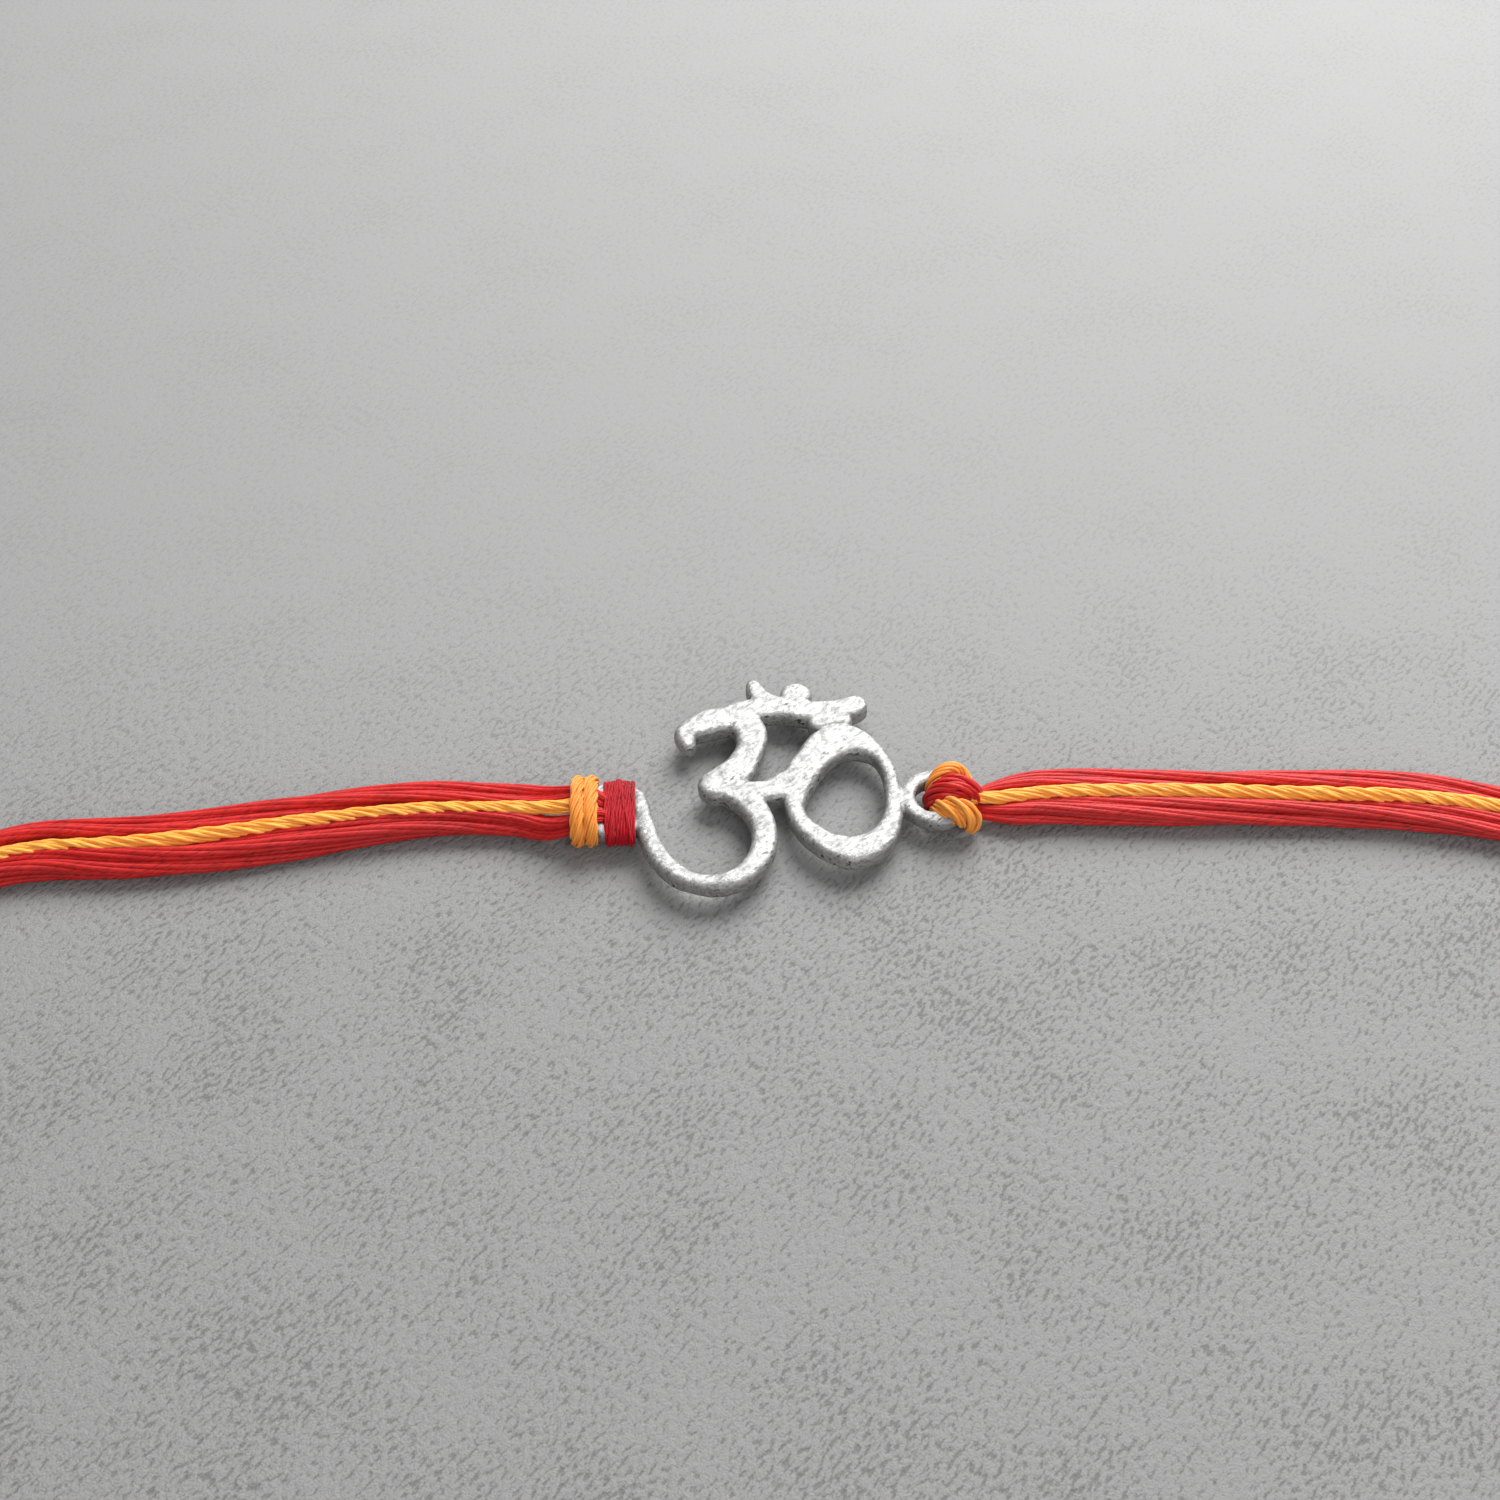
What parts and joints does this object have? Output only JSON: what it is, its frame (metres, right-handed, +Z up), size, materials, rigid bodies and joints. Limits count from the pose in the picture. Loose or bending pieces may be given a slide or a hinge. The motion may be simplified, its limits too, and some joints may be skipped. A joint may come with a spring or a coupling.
{
  "type": "rakhi thread bracelet",
  "caption": "Thread bracelet with a cast om connector charm hitched between two bundles of twisted thread and a knot that closes the loop.",
  "frame": {"origin": "on the surface that the bracelet lies on, midway between the outer ends of the charm's two rings and on the line through their centres", "axes": "+X along the charm from its left ring to its right ring, +Y towards the top of the om, +Z up from the surface"},
  "size_m": [0.1276, 0.108, 0.0056],
  "materials": {
    "cast_silver": "cast antique silver, dark in its pits",
    "red_thread": "soft satin thread of fine filaments",
    "crimson_thread": "satin thread wound flat",
    "orange_thread": "satin thread twisted from two plies"
  },
  "bodies": {
    "root": {"om_charm": "cast_silver", "left_red_band": "crimson_thread", "left_orange_band": "orange_thread", "left_back_strand": "red_thread", "left_middle_strand": "orange_thread", "left_front_strand": "red_thread", "right_back_leg": "orange_thread", "right_middle_leg": "crimson_thread", "right_front_leg": "orange_thread", "right_back_strand": "red_thread", "right_middle_strand": "orange_thread", "right_front_strand": "red_thread", "closing_knot": "red_thread", "left_tail": "red_thread", "right_tail": "red_thread"}
  },
  "joints": []
}
